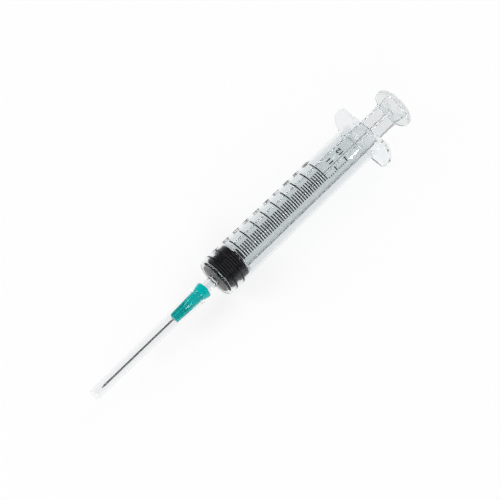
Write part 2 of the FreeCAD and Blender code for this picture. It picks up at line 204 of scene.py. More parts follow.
def smooth(piece, sharp=35):
    piece.data.shade_smooth()
    piece.data.set_sharp_from_angle(angle=math.radians(sharp))


def turned(name, path, angles=96, reach=None, closed=True):
    # the path turned round the axis; reach may change a radius by its angle
    if isinstance(angles, int):
        angles = [360 * i / angles for i in range(angles)]
    mesh = bmesh.new()
    rings = []
    for along, out in held(path, closed):
        ring = []
        for angle in angles if out > 1e-5 else [0]:   # on the axis, one point does
            radius = reach(out, angle) if reach else out
            a = math.radians(angle)
            ring.append(mesh.verts.new(place(along, radius * math.sin(a), radius * math.cos(a))))
        rings.append(ring)
    count = len(angles)
    for first, second in zip(rings, rings[1:] + rings[:1] if closed else rings[1:]):
        for i in range(count):
            j = (i + 1) % count
            corners = [first[i % len(first)], first[j % len(first)],
                       second[j % len(second)], second[i % len(second)]]
            face = list(dict.fromkeys(corners))
            if len(face) > 2:
                mesh.faces.new(face)
    return asPiece(name, mesh)


def settle(piece):
    # live modifiers become plain mesh
    graph = bpy.context.evaluated_depsgraph_get()
    data = bpy.data.meshes.new_from_object(piece.evaluated_get(graph))
    piece.modifiers.clear()
    piece.data = data


def fuse(piece, others, sharp=30):
    for other in others:
        union = piece.modifiers.new("union", "BOOLEAN")
        union.operation = "UNION"
        union.solver = "MANIFOLD"
        union.object = other
    settle(piece)
    for other in others:
        bpy.data.objects.remove(other)
    mesh = bmesh.new()
    mesh.from_mesh(piece.data)
    bmesh.ops.remove_doubles(mesh, verts=mesh.verts, dist=mesher["touching"])
    bmesh.ops.dissolve_degenerate(mesh, dist=mesher["touching"], edges=mesh.edges)
    bmesh.ops.recalc_face_normals(mesh, faces=mesh.faces)
    mesh.to_mesh(piece.data)
    mesh.free()
    smooth(piece, sharp)


def newTree(name, sockets):
    # a Geometry Nodes tree with named inputs
    tree = bpy.data.node_groups.new(name, "GeometryNodeTree")
    tree.interface.new_socket("Geometry", in_out="OUTPUT", socket_type="NodeSocketGeometry")
    tree.interface.new_socket("Geometry", in_out="INPUT", socket_type="NodeSocketGeometry")
    for socket, kind in sockets.items():
        tree.interface.new_socket(socket, in_out="INPUT", socket_type="NodeSocket" + kind)
    graph = Graph(tree)
    return tree, graph, graph.add("NodeGroupInput")


def closeTree(graph, geometry, material):
    realized = graph.add("GeometryNodeRealizeInstances", {}, {"Geometry": geometry})
    painted = graph.add("GeometryNodeSetMaterial", {}, {"Geometry": realized, "Material": material})
    graph.add("NodeGroupOutput", {}, {"Geometry": painted})


def grow(piece, tree, values):
    grower = piece.modifiers.new(tree.name, "NODES")
    grower.node_group = tree
    for item in tree.interface.items_tree:
        if item.in_out == "INPUT" and item.name in values:
            grower[item.identifier] = values[item.name]


def finishPiece(piece, body, slot, material, *nodes):
    piece.data.materials.clear()
    piece.data.materials.append(material)
    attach(piece, body)
    if nodes:
        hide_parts(*nodes)


def newMaterial(name):
    material = bpy.data.materials.new(name)
    material.use_nodes = True
    graph = Graph(material.node_tree)
    return material, graph, graph.add("ShaderNodeTexCoord", output="Object")


def stretched(graph, spot, scale, detail=3.0, roughness=0.5):
    # noise whose cells are 1/scale metres long in each direction
    mapped = graph.add("ShaderNodeMapping", {}, {"Vector": spot, "Scale": scale})
    return graph.add("ShaderNodeTexNoise", {}, {"Vector": mapped, "Scale": 1.0, "Detail": detail,
                                                "Roughness": roughness})


def tinted(graph, factor, first, second):
    # a mix of two colours; the first may be a wire
    start = first if isinstance(first, Wire) else (*first, 1)
    return graph.add("ShaderNodeMix", {"data_type": "RGBA"},
                     {0: factor, 6: start, 7: (*second, 1)}, output=2)


def bumped(graph, height, distance):
    return graph.add("ShaderNodeBump", {}, {"Height": height, "Distance": distance * mm})


def closeMaterial(graph, inputs, passed=None, mirrored=2.5):
    # light on what lies behind a clear piece goes straight on in the passed colour, and so does
    # light that is mirrored more often than this inside it
    shader = graph.add("ShaderNodeBsdfPrincipled", {}, inputs)
    if passed:
        clear = graph.add("ShaderNodeBsdfTransparent", {}, {"Color": (*passed, 1)})
        rays = graph.add("ShaderNodeLightPath")
        trapped = rays.out("Glossy Depth").above(mirrored)
        straight = (rays.out("Is Shadow Ray") + rays.out("Is Diffuse Ray") + trapped).clamped()
        shader = graph.add("ShaderNodeMixShader", {}, {0: straight, 1: shader, 2: clear})
    graph.add("ShaderNodeOutputMaterial", {}, {"Surface": shader})


def clearPlastic(name, look):
    # moulded see-through plastic: faint clouds along the melt flow and a slight ripple
    material, graph, spot = newMaterial(name)
    clouds = stretched(graph, spot, look["cloudScale"])
    ripple = stretched(graph, spot, look["rippleScale"], 2.0)
    colour = tinted(graph, clouds, look["thin"], look["thick"])
    if "darkerRear" in look:   # the rear end, over the thumb rest, is given a darker colour
        along = graph.add("ShaderNodeSeparateXYZ", {}, {0: spot}).out("X")
        start = cadBox[1][0] - look["darkerRearLength"] * mm
        share = ((along - start) / (look["darkerRearFade"] * mm)).clamped()
        colour = tinted(graph, share, colour, look["darkerRear"])
    closeMaterial(graph, {
        "Base Color": colour,
        "Roughness": look["polish"] + clouds * look["haze"],
        "Normal": bumped(graph, ripple, look["ripple"]),
        "Transmission Weight": look["clarity"],
        "IOR": look["bending"],
    }, look["passed"])
    return material


barrelPlastic = clearPlastic("barrelPlastic", {
    "thin": (0.89, 0.91, 0.915),
    "thick": (0.85, 0.875, 0.885),
    "polish": 0.0,
    "haze": 0.015,
    "ripple": 0.006,
    "clarity": 1.0,
    "cloudScale": (35, 160, 160),
    "rippleScale": (25, 90, 90),
    "passed": (0.96, 0.97, 0.975),
    "bending": 1.34,
})
rodPlastic = clearPlastic("rodPlastic", {
    "thin": (0.93, 0.94, 0.945),
    "thick": (0.86, 0.88, 0.885),
    "polish": 0.0,
    "haze": 0.03,
    "ripple": 0.006,
    "clarity": 0.95,
    "cloudScale": (40, 150, 150),
    "rippleScale": (35, 140, 140),
    "passed": (0.93, 0.94, 0.94),
    "bending": 1.30,
    "darkerRear": (0.77, 0.79, 0.795),
    "darkerRearLength": 3.0,
    "darkerRearFade": 1.5,
})
sheathPlastic = clearPlastic("sheathPlastic", {
    "thin": (0.96, 0.97, 0.97),
    "thick": (0.92, 0.93, 0.935),
    "polish": 0.0,
    "haze": 0.02,
    "ripple": 0.004,
    "clarity": 1.0,
    "cloudScale": (40, 150, 150),
    "rippleScale": (30, 140, 140),
    "passed": (0.98, 0.985, 0.985),
    "bending": 1.28,
})
bondResin = clearPlastic("bondResin", {
    "thin": (0.93, 0.95, 0.92),
    "thick": (0.84, 0.88, 0.84),
    "polish": 0.04,
    "haze": 0.06,
    "ripple": 0.004,
    "clarity": 0.8,
    "cloudScale": (800, 1500, 1500),
    "rippleScale": (1200, 1200, 1200),
    "passed": (0.93, 0.95, 0.93),
    "bending": 1.45,
})
hubPlastic = clearPlastic("hubPlastic", {
    "thin": (0.0, 0.66, 0.64),
    "thick": (0.0, 0.54, 0.525),
    "polish": 0.04,
    "haze": 0.06,
    "ripple": 0.004,
    "clarity": 0.32,
    "cloudScale": (220, 500, 500),
    "rippleScale": (200, 500, 500),
    "passed": (0.05, 0.30, 0.28),
    "bending": 1.49,
})


def makeRubber():
    look = {"dark": (0.004, 0.004, 0.005), "worn": (0.014, 0.014, 0.016),
            "polish": 0.24, "matt": 0.18, "grain": 0.004, "gleam": 0.03,
            "smearScale": (300, 300, 300), "grainScale": (1800, 1800, 1800)}
    material, graph, spot = newMaterial("pistonRubber")
    smears = stretched(graph, spot, look["smearScale"], 4.0, 0.6)   # the oil film on the rubber
    grain = stretched(graph, spot, look["grainScale"], 2.0)
    closeMaterial(graph, {
        "Base Color": tinted(graph, smears, look["dark"], look["worn"]),
        "Roughness": look["polish"] + smears * look["matt"],
        "Normal": bumped(graph, grain, look["grain"]),
        "Specular IOR Level": look["gleam"],
    })
    return material


def makeSteel():
    look = {"dark": (0.20, 0.205, 0.21), "bright": (0.40, 0.405, 0.41),
            "polish": 0.22, "drawn": 0.20, "scratch": 0.002, "lineScale": (90, 9000, 9000)}
    material, graph, spot = newMaterial("needleSteel")
    lines = stretched(graph, spot, look["lineScale"], 3.0, 0.6)   # drawn lengthwise
    closeMaterial(graph, {
        "Base Color": tinted(graph, lines, look["dark"], look["bright"]),
        "Roughness": look["polish"] + lines * look["drawn"],
        "Normal": bumped(graph, lines, look["scratch"]),
        "Metallic": 1.0,
    })
    return material


def makeInk():
    look = {"solid": (0.006, 0.006, 0.007), "thin": (0.03, 0.03, 0.032),
            "polish": 0.35, "matt": 0.2, "film": 0.004, "gleam": 0.25,
            "filmScale": (1800, 1800, 1800)}
    material, graph, spot = newMaterial("scaleInk")
    film = stretched(graph, spot, look["filmScale"], 3.0)   # uneven screen-printed film
    closeMaterial(graph, {
        "Base Color": tinted(graph, film, look["solid"], look["thin"]),
        "Roughness": look["polish"] + film * look["matt"],
        "Normal": bumped(graph, film, look["film"]),
        "Specular IOR Level": look["gleam"],
    })
    return material


pistonRubber = makeRubber()
needleSteel = makeSteel()
scaleInk = makeInk()
print("materials made")


barrelSizes = {
    "outer": 8.45,
    "rear": pitch * syringe["graduated"] + syringe["pastScale"],
    "endFront": -2.0,
    "endNose": -2.6,
    "shoulder": 1.2,
    "mouthBevel": 0.5,
    "flangeRadius": 14.7,
    "flangeHalfHeight": 9.0,
    "flangeThickness": 1.8,
    "flangeCut": 1.0,       # how far past the flats' height the cutting of the rim starts
    "cornerRound": 0.25,
    "columnTurn": 2,
    "cornerColumnTurn": 0.5,
    "cornerColumns": 8,     # finer columns on either side of each corner of the flange
    "stopRingInset": 5.6,
    "stopRingHeight": 0.16,
    "stopRingRun": 0.6,
    "stopRingRound": 1.5,
    "nozzleTip": -13.2,
    "nozzleTipRadius": 1.98,
    "nozzleTaper": 0.03,    # radius gained per length
    "nozzleBore": 1.05,
    "nozzleRoot": 0.7,
    "boreNose": -1.7,
}
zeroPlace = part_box("barrel")[1].x - barrelSizes["rear"] * mm


def coneRadius(along):
    b = barrelSizes
    return b["nozzleTipRadius"] + b["nozzleTaper"] * (along - b["nozzleTip"])


def flangeReach(out, angle):
    # only the flange's rim is cut back by its two flats, with its corners eased
    b = barrelSizes
    if out < b["flangeHalfHeight"] + b["flangeCut"]:
        return out
    lean = max(0.02, abs(math.cos(math.radians(angle))))   # kept off zero
    flat = (b["flangeHalfHeight"] - (b["flangeRadius"] - out)) / lean
    ease = b["cornerRound"]
    return out - ease * math.log1p(math.exp((out - flat) / ease))


def makeBarrel():
    b = barrelSizes
    rear, outer, bore = b["rear"], b["outer"], syringe["bore"]
    front, ring = syringe["boreFront"], rear - b["stopRingInset"]
    coneEdge = front + (b["boreNose"] - front) * (1 - b["nozzleBore"] / bore)
    path = roundedPath([
        (b["nozzleTip"], b["nozzleBore"], edge["fine"]),
        (b["nozzleTip"], b["nozzleTipRadius"], edge["small"]),
        (b["endNose"], coneRadius(b["endNose"]), b["nozzleRoot"]),
        (b["endFront"], outer, b["shoulder"]),
        (rear - b["flangeThickness"], outer, edge["soft"]),
        (rear - b["flangeThickness"], b["flangeRadius"], edge["plain"]),
        (rear, b["flangeRadius"], edge["plain"]),
        (rear, bore + b["mouthBevel"], edge["crisp"]),
        (rear - b["mouthBevel"], bore, edge["soft"]),
        (ring + b["stopRingRun"], bore, b["stopRingRound"]),
        (ring, bore - b["stopRingHeight"], b["stopRingRound"]),
        (ring - b["stopRingRun"], bore, b["stopRingRound"]),
        (front, bore, edge["full"]),
        (coneEdge, b["nozzleBore"], edge["eased"]),
    ])
    corner = math.degrees(math.acos(b["flangeHalfHeight"] / b["flangeRadius"]))
    angles = {float(angle) for angle in range(0, 360, b["columnTurn"])}
    fine = range(-b["cornerColumns"], b["cornerColumns"] + 1)
    for middle in (corner, 180 - corner, 180 + corner, 360 - corner):
        angles |= {round(middle + step * b["cornerColumnTurn"], 3) for step in fine}
    return turned("barrelShell", path, sorted(angles), flangeReach)


barrelShell = makeBarrel()
finishPiece(barrelShell, "barrel", "barrel_plastic", barrelPlastic, "barrel")
print("barrel made")


scaleSizes = {
    "lineWidth": 0.55,
    "thickness": 0.025,
    "lift": 0.005,   # keeps the ink's underside off the barrel's facets
    "edge": -33.0,
    "shortEnd": 1.6,
    "longEnd": 36.0,
    "reserveEdge": -35.0,
    "reserveEnd": -21.0,
    "dotEnd": -32.0,
    "stepsPerMl": 5,
    "full": 10,
    "numeralAngle": 57.0,
    "numeralSize": 4.1,
    "reserveAngle": -2.5,
    "reserveSize": 3.0,
    "reserveShift": 0.4,
    "bold": 0.035,   # share of the numeral's size added to each stroke
    "overlap": 0.5,  # degrees by which the outer marks run into the inner ones
    "columns": 15,   # points along a mark
    "slice": 0.35,   # a numeral is cut this fine, so that it bends with the barrel
    "curvePoints": 6,
    "touching": 1e-4,   # millimetres within which a numeral's points are one
    "onCut": 1e-5,
}


def markTree():
    # one row of marks: a thin plate bent round the barrel, repeated along it
    tree, graph, given = newTree("scaleRow", {
        "First Mark": "Vector", "Pitch": "Float", "Count": "Int", "Line Width": "Float",
        "Start Angle": "Float", "End Angle": "Float", "Radius": "Float", "Thickness": "Float",
        "Material": "Material"})
    sheet = graph.add("GeometryNodeMeshGrid", {}, {
        "Size X": given.out("Line Width"), "Size Y": 1.0, "Vertices X": 2,
        "Vertices Y": scaleSizes["columns"]})
    lifted = graph.add("GeometryNodeExtrudeMesh", {"mode": "FACES"}, {
        "Mesh": sheet, "Offset": (0, 0, 1), "Offset Scale": given.out("Thickness"),
        "Individual": False})
    under = graph.add("GeometryNodeFlipFaces", {}, {"Mesh": sheet})
    both = graph.add("GeometryNodeJoinGeometry")
    graph.tree.links.new(lifted.socket, both.socket.node.inputs[0])
    graph.tree.links.new(under.socket, both.socket.node.inputs[0])
    plate = graph.add("GeometryNodeMergeByDistance", {}, {"Geometry": both, "Distance": 1e-6})
    parts = graph.add("ShaderNodeSeparateXYZ", {}, {0: graph.add("GeometryNodeInputPosition")})
    start, end = given.out("Start Angle"), given.out("End Angle")
    angle = start + (parts.out("Y") + 0.5) * (end - start)
    radius = given.out("Radius") + parts.out("Z")
    sine = graph.add("ShaderNodeMath", {"operation": "SINE"}, {0: angle})
    cosine = graph.add("ShaderNodeMath", {"operation": "COSINE"}, {0: angle})
    bent = graph.add("GeometryNodeSetPosition", {}, {
        "Geometry": plate,
        "Position": graph.add("ShaderNodeCombineXYZ", {}, {
            "X": parts.out("X"), "Y": radius * sine, "Z": radius * cosine})})
    step = graph.add("ShaderNodeCombineXYZ", {}, {"X": given.out("Pitch")})
    row = graph.add("GeometryNodeMeshLine", {"mode": "OFFSET"}, {
        "Count": given.out("Count"), "Start Location": given.out("First Mark"), "Offset": step})
    marks = graph.add("GeometryNodeInstanceOnPoints", {}, {"Points": row, "Instance": bent})
    joined = graph.add("GeometryNodeJoinGeometry")
    graph.tree.links.new(given.out("Geometry").socket, joined.socket.node.inputs[0])
    graph.tree.links.new(marks.socket, joined.socket.node.inputs[0])
    closeTree(graph, joined, given.out("Material"))
    return tree


def makeScale():
    s = scaleSizes
    tree = markTree()
    scale = bpy.data.objects.new("scaleMarks", bpy.data.meshes.new("scaleMarks"))
    bpy.context.scene.collection.objects.link(scale)
    rest = syringe["graduated"] - s["full"]
    rows = [   # first mark in mL, marks in each mL, count, start and end angle
        (0, s["stepsPerMl"], s["full"] * s["stepsPerMl"] + 1, s["edge"], s["shortEnd"]),
        (0, 1, s["full"] + 1, s["shortEnd"] - s["overlap"], s["longEnd"]),
        (s["full"] + 1 / s["stepsPerMl"], s["stepsPerMl"], rest * s["stepsPerMl"],
         s["reserveEdge"], s["dotEnd"]),
        (s["full"] + 1, 1, rest, s["dotEnd"] - s["overlap"], s["reserveEnd"]),
    ]
    for first, perMl, count, start, end in rows:
        grow(scale, tree, {
            "First Mark": place(first * pitch, 0, 0), "Pitch": pitch / perMl * mm,
            "Count": count, "Line Width": s["lineWidth"] * mm,
            "Start Angle": math.radians(start), "End Angle": math.radians(end),
            "Radius": (barrelSizes["outer"] + s["lift"]) * mm,
            "Thickness": s["thickness"] * mm, "Material": scaleInk})
    settle(scale)
    return scale


def wrapped(word, size, along, angle):
    # a word laid on the barrel, its top towards the needle
    s = scaleSizes
    font = bpy.data.curves.new("numeral", "FONT")
    font.body, font.size = word, size
    font.align_x, font.align_y = "CENTER", "CENTER"
    font.extrude = s["thickness"] / 2
    font.offset = s["bold"] * size
    font.resolution_u = s["curvePoints"]
    writing = bpy.data.objects.new("numeral", font)
    bpy.context.scene.collection.objects.link(writing)
    graph = bpy.context.evaluated_depsgraph_get()
    data = bpy.data.meshes.new_from_object(writing.evaluated_get(graph))
    bpy.data.objects.remove(writing)
    mesh = bmesh.new()
    mesh.from_mesh(data)
    bmesh.ops.remove_doubles(mesh, verts=mesh.verts, dist=s["touching"])
    half = max(abs(vertex.co.x) for vertex in mesh.verts)
    steps = math.ceil(half / s["slice"])
    for i in range(-steps, steps + 1):
        bmesh.ops.bisect_plane(mesh, geom=mesh.verts[:] + mesh.edges[:] + mesh.faces[:],
                               dist=s["onCut"], plane_co=(i * s["slice"], 0, 0),
                               plane_no=(1, 0, 0))
    for vertex in mesh.verts:
        x, y, z = vertex.co
        radius = barrelSizes["outer"] + s["lift"] + s["thickness"] / 2 + z
        turn = math.radians(angle) + x / barrelSizes["outer"]
        vertex.co = place(along - y, radius * math.sin(turn), radius * math.cos(turn))
    bpy.data.meshes.remove(data)
    return mesh


def makeNumerals():
    s = scaleSizes
    words = [(str(n), s["numeralSize"], n * pitch, s["numeralAngle"])
             for n in range(1, s["full"] + 1)]
    words += [(str(n), s["reserveSize"], n * pitch + s["reserveShift"], s["reserveAngle"])
              for n in range(s["full"] + 1, syringe["graduated"] + 1)]
    whole = bmesh.new()
    for word, size, along, angle in words:
        mesh = wrapped(word, size, along, angle)
        data = bpy.data.meshes.new("numeral")
        mesh.to_mesh(data)
        mesh.free()
        whole.from_mesh(data)
        bpy.data.meshes.remove(data)
    return asPiece("scaleNumerals", whole)


scaleMarks = makeScale()
finishPiece(scaleMarks, "barrel", "scale_ink", scaleInk, "scale_lines")
scaleNumerals = makeNumerals()
finishPiece(scaleNumerals, "barrel", "scale_ink", scaleInk)
print("printed scale made")


pistonSizes = {
    "noseFlat": 1.5,
    "shoulder": 6.5,
    "dimple": 0.2,
    "press": 0.012,  # the nose is squeezed this far against the end wall
    "seal": 7.51,    # pressed against the bore, so no air shows between them
    "land": 0.4,     # half the width of a ridge's crest
    "halfWidth": 0.85,
    "footRun": 0.1,
    "footRound": 0.6,
    "valley": 6.75,
    "noseValley": 0.05,
    "frontSeal": 1.9,
    "rearSeal": 5.65,
    "skirt": 7.4,
    "skirtDip": 0.12,
    "skirtRun": 0.8,
    "rear": 9.0,
    "socketNeck": 2.5,
    "socket": 3.8,
    "socketFront": 2.4,
    "socketRear": 5.9,
    "headBevel": 1.1,
}


def endCone(out):
    # where the bore's end wall is at this radius
    slope = (barrelSizes["boreNose"] - syringe["boreFront"]) / syringe["bore"]
    return syringe["boreFront"] + slope * (syringe["bore"] - out)


def makePiston():
    p = pistonSizes
    half, seal, valley = p["halfWidth"], p["seal"], p["valley"]
    front, rear = p["frontSeal"], p["rearSeal"]
    path = roundedPath([
        (endCone(0) + p["dimple"], 0),
        (endCone(p["noseFlat"]) - p["press"], p["noseFlat"], edge["soft"]),
        (endCone(p["shoulder"]) - p["press"], p["shoulder"], edge["broad"]),
        (front - half - p["footRun"], valley - p["noseValley"], edge["broad"]),
        (front - p["land"], seal, edge["small"]),
        (front + p["land"], seal, edge["fine"]),
        (front + half + p["footRun"], valley, p["footRound"]),
        (rear - half - p["footRun"], valley, p["footRound"]),
        (rear - p["land"], seal, edge["small"]),
        (rear + p["land"], seal, edge["fine"]),
        (rear + half, p["skirt"] - p["skirtDip"], edge["broad"]),
        (rear + half + p["skirtRun"], p["skirt"], edge["broad"]),
        (p["rear"], p["skirt"], edge["soft"]),
        (p["rear"], p["socketNeck"], edge["small"]),
        (p["socketRear"], p["socketNeck"], edge["fine"]),
        (p["socketRear"], p["socket"], edge["fine"]),
        (p["socketFront"] + p["headBevel"], p["socket"], edge["plain"]),
        (p["socketFront"], p["socket"] - p["headBevel"], edge["plain"]),
        (p["socketFront"], 0),
    ], closed=False)
    return turned("pistonRubber", path, 128, closed=False)


pistonPiece = makePiston()
finishPiece(pistonPiece, "piston", "piston_rubber", pistonRubber, "piston")
print("piston made")


rodSizes = {
    "headFront": 2.45,
    "headBevel": pistonSizes["headBevel"],
    "headRadius": 3.6,
    "headRear": 5.85,
    "neck": 2.45,
    "discFront": 9.12,
    "discRear": 10.42,
    "disc": 7.05,
    "ribRadius": 6.7,
    "ribThickness": 1.1,
    "ribRoot": 0.6,
    "ribTip": 0.18,
    "ribTurn": 27.0,
    "stations": 90,
    "flareLength": 5.0,
    "flareHeight": 1.1,
    "flareBend": 1.6,
    "thumbGap": 16.4,
    "thumbRadius": 8.9,
    "thumbThickness": 2.2,
    "thumbEdge": 0.7,
    "bury": 0.5,   # how far the ribs run into the disc and the thumb rest
}


def ribTree():
    # a closed section swept along the axis, its rib tips spreading towards the thumb rest
    tree, graph, given = newTree("ribSweep", {
        "Start": "Vector", "End": "Vector", "Stations": "Int", "Root Radius": "Float",
        "Rib Radius": "Float", "Flare Length": "Float", "Flare Height": "Float",
        "Material": "Material"})
    start, end = given.out("Start"), given.out("End")
    line = graph.add("GeometryNodeCurvePrimitiveLine", {}, {"Start": start, "End": end})
    stations = graph.add("GeometryNodeResampleCurve", {}, {
        "Curve": line, "Count": given.out("Stations")})
    upright = graph.add("GeometryNodeSetCurveNormal", {"mode": "Z_UP"}, {"Curve": stations})
    section = graph.add("GeometryNodeMeshToCurve", {}, {"Mesh": given.out("Geometry")})
    swept = graph.add("GeometryNodeCurveToMesh", {}, {
        "Curve": upright, "Profile Curve": section, "Fill Caps": True})
    spot = graph.add("GeometryNodeInputPosition")
    centred = graph.add("ShaderNodeVectorMath", {"operation": "SUBTRACT"}, {0: spot, 1: end})
    parts = graph.add("ShaderNodeSeparateXYZ", {}, {0: centred})
    flat = graph.add("ShaderNodeCombineXYZ", {}, {"Y": parts.out("Y"), "Z": parts.out("Z")})
    out = graph.add("ShaderNodeVectorMath", {"operation": "LENGTH"}, {0: flat}, output="Value")
    away = graph.add("ShaderNodeVectorMath", {"operation": "NORMALIZE"}, {0: flat})
    flare, root = given.out("Flare Length"), given.out("Root Radius")
    near = ((parts.out("X") + flare) / flare).clamped()
    tip = ((out - root) / (given.out("Rib Radius") - root)).clamped()
    shift = graph.add("ShaderNodeVectorMath", {"operation": "SCALE"}, {
        0: away, "Scale": near ** rodSizes["flareBend"] * tip * given.out("Flare Height")})
    flared = graph.add("GeometryNodeSetPosition", {}, {"Geometry": swept, "Offset": shift})
    closeTree(graph, flared, given.out("Material"))
    return tree


def ribSection():
    # a cross with filleted roots and eased tips, in the sketch plane of the sweep
    r = rodSizes
    half, reach = r["ribThickness"] / 2, r["ribRadius"]
    quarter = [(reach, -half, r["ribTip"]), (reach, half, r["ribTip"]), (half, half, r["ribRoot"])]
    corners = []
    for turn in range(4):
        c, s = round(math.cos(turn * math.pi / 2)), round(math.sin(turn * math.pi / 2))
        corners += [(x * c - y * s, x * s + y * c, radius) for x, y, radius in quarter]
    return roundedPath(corners)


def makeRod():
    r = rodSizes
    thumbFront = barrelSizes["rear"] + r["thumbGap"]
    thumbRear = thumbFront + r["thumbThickness"]
    mesh = bmesh.new()
    turn = -math.radians(r["ribTurn"])   # the sweep lays the section the other way round
    ring = [mesh.verts.new(((x * math.cos(turn) - y * math.sin(turn)) * mm,
                            (x * math.sin(turn) + y * math.cos(turn)) * mm, 0))
            for x, y in held(ribSection())]
    for i, vertex in enumerate(ring):
        mesh.edges.new((vertex, ring[(i + 1) % len(ring)]))
    data = bpy.data.meshes.new("rodRibs")
    mesh.to_mesh(data)
    mesh.free()
    ribs = bpy.data.objects.new("rodRibs", data)
    bpy.context.scene.collection.objects.link(ribs)
    grow(ribs, ribTree(), {
        "Start": place(r["discRear"] - r["bury"], 0, 0), "End": place(thumbFront + r["bury"], 0, 0),
        "Stations": r["stations"], "Root Radius": (r["ribThickness"] + r["ribRoot"]) * mm,
        "Rib Radius": r["ribRadius"] * mm, "Flare Length": (r["flareLength"] + r["bury"]) * mm,
        "Flare Height": r["flareHeight"] * mm, "Material": rodPlastic})
    settle(ribs)
    head = turned("rodHead", roundedPath([
        (r["headFront"], 0),
        (r["headFront"], r["headRadius"] - r["headBevel"], edge["plain"]),
        (r["headFront"] + r["headBevel"], r["headRadius"], edge["plain"]),
        (r["headRear"], r["headRadius"], edge["small"]),
        (r["headRear"], r["neck"], edge["fine"]),
        (r["discFront"], r["neck"], edge["small"]),
        (r["discFront"], r["disc"], edge["plain"]),
        (r["discRear"], r["disc"], edge["plain"]),
        (r["discRear"], 0),
    ], closed=False), closed=False)
    thumb = turned("thumbRest", roundedPath([
        (thumbFront, 0),
        (thumbFront, r["thumbRadius"], r["thumbEdge"]),
        (thumbRear, r["thumbRadius"], r["thumbEdge"]),
        (thumbRear, 0),
    ], closed=False), 128, closed=False)
    fuse(ribs, [head, thumb])
    ribs.name = ribs.data.name = "plungerRod"
    return ribs


plungerRod = makeRod()
finishPiece(plungerRod, "rod", "rod_plastic", rodPlastic, "plunger_rod")
print("plunger rod made")


hubSizes = {
    "rear": -7.7,
    "length": 16.8,
    "collar": 3.35,
    "collarLand": 0.9,
    "collarLength": 3.1,
    "collarFront": 2.85,
    "lugFoot": 2.9,
    "lugReach": 3.85,
    "lugEdge": 0.14,
    "lugWidth": 2.4,
    "lugTurn": -18.0,
    "socketDepth": 7.8,
    "socketWall": 0.42,
    "socketGap": 0.02,
    "socketRound": 0.8,
    "bottomSlope": 2,
    "gripLength": 3.4,
    "gripRound": 1.2,
    "nose": 1.25,
    "fins": 6,
    "finThickness": 0.45,
    "finRear": 2.66,
    "finFront": 2.06,
    "finStart": 0.3,
    "finNotch": 0.28,
    "finStop": 0.12,
    "finSink": 0.2,   # how far a fin runs into the hub's core
    "easeFrom": 1.9,   # edges further out than this are eased
    "wellRadius": 0.8,
    "wellDepth": 1.2,
    "channel": 0.42,
}
hubFront = hubSizes["rear"] - hubSizes["length"]
collarFront = hubSizes["rear"] - hubSizes["collarLength"]
socketBottom = hubSizes["rear"] - hubSizes["socketDepth"]


def socketRadius(along):
    return coneRadius(along) + hubSizes["socketGap"]


def aroundTree():
    # copies of a piece turned evenly round the axis
    tree, graph, given = newTree("aroundAxis", {
        "Count": "Int", "First Angle": "Float", "Axis": "Vector", "Material": "Material"})
    spots = graph.add("GeometryNodeMeshLine", {"mode": "OFFSET"}, {
        "Count": given.out("Count"), "Offset": (0, 0, 0)})
    share = graph.add("GeometryNodeInputIndex") / given.out("Count")
    turn = graph.add("ShaderNodeCombineXYZ", {}, {
        "X": given.out("First Angle") + share * (2 * math.pi)})
    copies = graph.add("GeometryNodeInstanceOnPoints", {}, {
        "Points": spots, "Instance": given.out("Geometry"), "Rotation": turn})
    seated = graph.add("GeometryNodeTransform", {}, {
        "Geometry": copies, "Translation": given.out("Axis")})
    closeTree(graph, seated, given.out("Material"))
    return tree


def plate(name, corners, thickness, ease):
    # a flat plate through the axis, given by its (along, up) outline, with eased outer edges
    mesh = bmesh.new()
    face = mesh.faces.new([mesh.verts.new((x * mm, -thickness / 2 * mm, z * mm))
                           for x, z in corners])
    grown = bmesh.ops.extrude_face_region(mesh, geom=[face])["geom"]
    for item in grown:
        if isinstance(item, bmesh.types.BMVert):
            item.co.y += thickness * mm
    outer = [line for line in mesh.edges
             if all(vertex.co.z > hubSizes["easeFrom"] * mm for vertex in line.verts)]
    bmesh.ops.bevel(mesh, geom=outer, offset=ease * mm, segments=2, affect="EDGES")
    return asPiece(name, mesh)


def makeHub():
    h = hubSizes
    rear = h["rear"]
    narrow = socketBottom - h["gripLength"]
    wellBottom = hubFront + h["wellDepth"]
    bottom = socketRadius(socketBottom)
    cone = socketBottom - (bottom - h["channel"]) / h["bottomSlope"]
    core = turned("hubCore", roundedPath([
        (rear, socketRadius(rear), edge["crisp"]),
        (rear, h["collar"], edge["soft"]),
        (rear - h["collarLand"], h["collar"], edge["eased"]),
        (collarFront, h["collarFront"], edge["full"]),
        (collarFront, socketRadius(collarFront) + h["socketWall"], edge["crisp"]),
        (socketBottom, bottom + h["socketWall"], h["socketRound"]),
        (narrow, h["nose"], h["gripRound"]),
        (hubFront, h["nose"], edge["small"]),
        (hubFront, h["wellRadius"], edge["keen"]),
        (wellBottom, h["wellRadius"]), (wellBottom, h["channel"]),
        (cone, h["channel"]), (socketBottom, bottom),
    ]))
    tree = aroundTree()
    finRear, finFront = collarFront + h["finStart"], hubFront + h["finStop"]
    fin = plate("hubFins", [
        (finRear, h["finRear"] - h["finNotch"]), (finRear, h["finRear"]),
        (finFront, h["finFront"]), (finFront, h["nose"] - h["finSink"]),
        (narrow, h["nose"] - h["finSink"]), (socketBottom, bottom + h["finSink"]),
    ], h["finThickness"], edge["keen"])
    land = rear - h["collarLand"]
    lug = plate("hubLugs", [
        (land, h["lugFoot"]), (land, h["lugReach"]), (rear, h["lugReach"]), (rear, h["lugFoot"]),
    ], h["lugWidth"], h["lugEdge"])
    for piece, count, turn in ((fin, h["fins"], 0), (lug, 2, -h["lugTurn"])):
        grow(piece, tree, {"Count": count, "First Angle": math.radians(turn),
                           "Axis": place(0, 0, 0), "Material": hubPlastic})
        settle(piece)
    fuse(core, [fin, lug])
    core.name = core.data.name = "needleHub"
    return core


needleHub = makeHub()
finishPiece(needleHub, "needle", "hub_plastic", hubPlastic, "needle_hub")
print("needle hub made")


